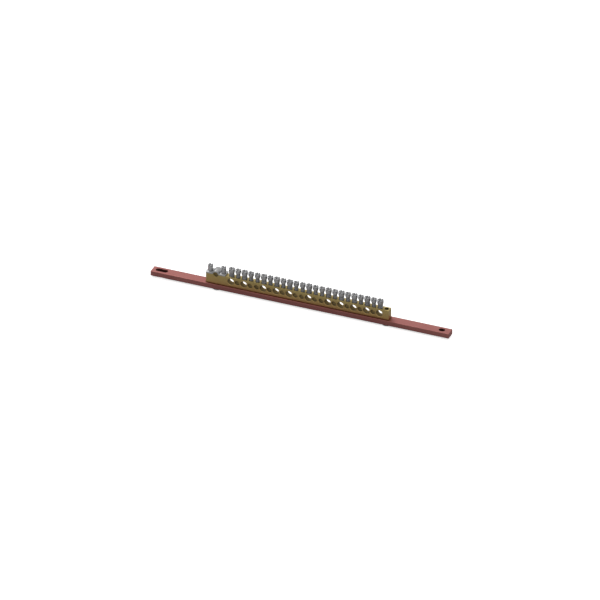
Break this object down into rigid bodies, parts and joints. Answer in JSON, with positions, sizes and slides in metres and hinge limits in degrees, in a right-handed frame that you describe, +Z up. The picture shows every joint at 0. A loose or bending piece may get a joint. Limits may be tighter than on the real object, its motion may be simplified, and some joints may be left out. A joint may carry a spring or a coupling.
{
  "type": "earth terminal bar",
  "caption": "Copper bar with slotted ends, carrying a brass terminal block with screw-clamped wire holes in a row and a saddle clamp for the main earth cable.",
  "frame": {"origin": "middle of the footprint, on the plane of the flat heads of the two fixing screws under the copper, which is 1.4 mm under the copper bar", "axes": "+X along the bar, from the saddle clamp end to the other; +Y across the bar, away from the front; +Z up, the way the screws point"},
  "size_m": [0.3, 0.01, 0.0248],
  "materials": {
    "copper": "drawn copper, dull satin",
    "brass": "drawn brass, dull satin",
    "saddle_steel": "pressed and zinc plated",
    "screw_steel": "turned and zinc plated"
  },
  "bodies": {
    "bar": {"copper_bar": "copper", "terminal_block": "brass", "fixing_screw_left": "screw_steel", "fixing_screw_right": "screw_steel"},
    "saddle": {"clamp_saddle": "saddle_steel", "clamp_screw_left": "screw_steel", "clamp_screw_right": "screw_steel"},
    "screw_01": {"terminal_screw_01": "screw_steel"},
    "screw_02": {"terminal_screw_02": "screw_steel"},
    "screw_03": {"terminal_screw_03": "screw_steel"},
    "screw_04": {"terminal_screw_04": "screw_steel"},
    "screw_05": {"terminal_screw_05": "screw_steel"},
    "screw_06": {"terminal_screw_06": "screw_steel"},
    "screw_07": {"terminal_screw_07": "screw_steel"},
    "screw_08": {"terminal_screw_08": "screw_steel"},
    "screw_09": {"terminal_screw_09": "screw_steel"},
    "screw_10": {"terminal_screw_10": "screw_steel"},
    "screw_11": {"terminal_screw_11": "screw_steel"},
    "screw_12": {"terminal_screw_12": "screw_steel"},
    "screw_13": {"terminal_screw_13": "screw_steel"},
    "screw_14": {"terminal_screw_14": "screw_steel"},
    "screw_15": {"terminal_screw_15": "screw_steel"},
    "screw_16": {"terminal_screw_16": "screw_steel"},
    "screw_17": {"terminal_screw_17": "screw_steel"},
    "screw_18": {"terminal_screw_18": "screw_steel"},
    "screw_19": {"terminal_screw_19": "screw_steel"},
    "screw_20": {"terminal_screw_20": "screw_steel"},
    "screw_21": {"terminal_screw_21": "screw_steel"},
    "screw_22": {"terminal_screw_22": "screw_steel"},
    "screw_23": {"terminal_screw_23": "screw_steel"},
    "screw_24": {"terminal_screw_24": "screw_steel"}
  },
  "joints": [
    {"name": "saddle_lift", "type": "slide", "parent": "bar", "child": "saddle", "axis": [0, 0, 1], "range_m": [0, 0.004]},
    {"name": "screw_01_travel", "type": "slide", "parent": "bar", "child": "screw_01", "axis": [0, 0, 1], "range_m": [-0.00405, 0]},
    {"name": "screw_02_travel", "type": "slide", "parent": "bar", "child": "screw_02", "axis": [0, 0, 1], "range_m": [-0.00405, 0]},
    {"name": "screw_03_travel", "type": "slide", "parent": "bar", "child": "screw_03", "axis": [0, 0, 1], "range_m": [-0.00405, 0]},
    {"name": "screw_04_travel", "type": "slide", "parent": "bar", "child": "screw_04", "axis": [0, 0, 1], "range_m": [-0.00405, 0]},
    {"name": "screw_05_travel", "type": "slide", "parent": "bar", "child": "screw_05", "axis": [0, 0, 1], "range_m": [-0.00405, 0]},
    {"name": "screw_06_travel", "type": "slide", "parent": "bar", "child": "screw_06", "axis": [0, 0, 1], "range_m": [-0.00405, 0]},
    {"name": "screw_07_travel", "type": "slide", "parent": "bar", "child": "screw_07", "axis": [0, 0, 1], "range_m": [-0.00405, 0]},
    {"name": "screw_08_travel", "type": "slide", "parent": "bar", "child": "screw_08", "axis": [0, 0, 1], "range_m": [-0.00405, 0]},
    {"name": "screw_09_travel", "type": "slide", "parent": "bar", "child": "screw_09", "axis": [0, 0, 1], "range_m": [-0.00405, 0]},
    {"name": "screw_10_travel", "type": "slide", "parent": "bar", "child": "screw_10", "axis": [0, 0, 1], "range_m": [-0.00405, 0]},
    {"name": "screw_11_travel", "type": "slide", "parent": "bar", "child": "screw_11", "axis": [0, 0, 1], "range_m": [-0.00405, 0]},
    {"name": "screw_12_travel", "type": "slide", "parent": "bar", "child": "screw_12", "axis": [0, 0, 1], "range_m": [-0.00405, 0]},
    {"name": "screw_13_travel", "type": "slide", "parent": "bar", "child": "screw_13", "axis": [0, 0, 1], "range_m": [-0.00405, 0]},
    {"name": "screw_14_travel", "type": "slide", "parent": "bar", "child": "screw_14", "axis": [0, 0, 1], "range_m": [-0.00405, 0]},
    {"name": "screw_15_travel", "type": "slide", "parent": "bar", "child": "screw_15", "axis": [0, 0, 1], "range_m": [-0.00405, 0]},
    {"name": "screw_16_travel", "type": "slide", "parent": "bar", "child": "screw_16", "axis": [0, 0, 1], "range_m": [-0.00405, 0]},
    {"name": "screw_17_travel", "type": "slide", "parent": "bar", "child": "screw_17", "axis": [0, 0, 1], "range_m": [-0.00405, 0]},
    {"name": "screw_18_travel", "type": "slide", "parent": "bar", "child": "screw_18", "axis": [0, 0, 1], "range_m": [-0.00405, 0]},
    {"name": "screw_19_travel", "type": "slide", "parent": "bar", "child": "screw_19", "axis": [0, 0, 1], "range_m": [-0.00405, 0]},
    {"name": "screw_20_travel", "type": "slide", "parent": "bar", "child": "screw_20", "axis": [0, 0, 1], "range_m": [-0.00405, 0]},
    {"name": "screw_21_travel", "type": "slide", "parent": "bar", "child": "screw_21", "axis": [0, 0, 1], "range_m": [-0.00405, 0]},
    {"name": "screw_22_travel", "type": "slide", "parent": "bar", "child": "screw_22", "axis": [0, 0, 1], "range_m": [-0.00405, 0]},
    {"name": "screw_23_travel", "type": "slide", "parent": "bar", "child": "screw_23", "axis": [0, 0, 1], "range_m": [-0.00405, 0]},
    {"name": "screw_24_travel", "type": "slide", "parent": "bar", "child": "screw_24", "axis": [0, 0, 1], "range_m": [-0.00405, 0]}
  ]
}
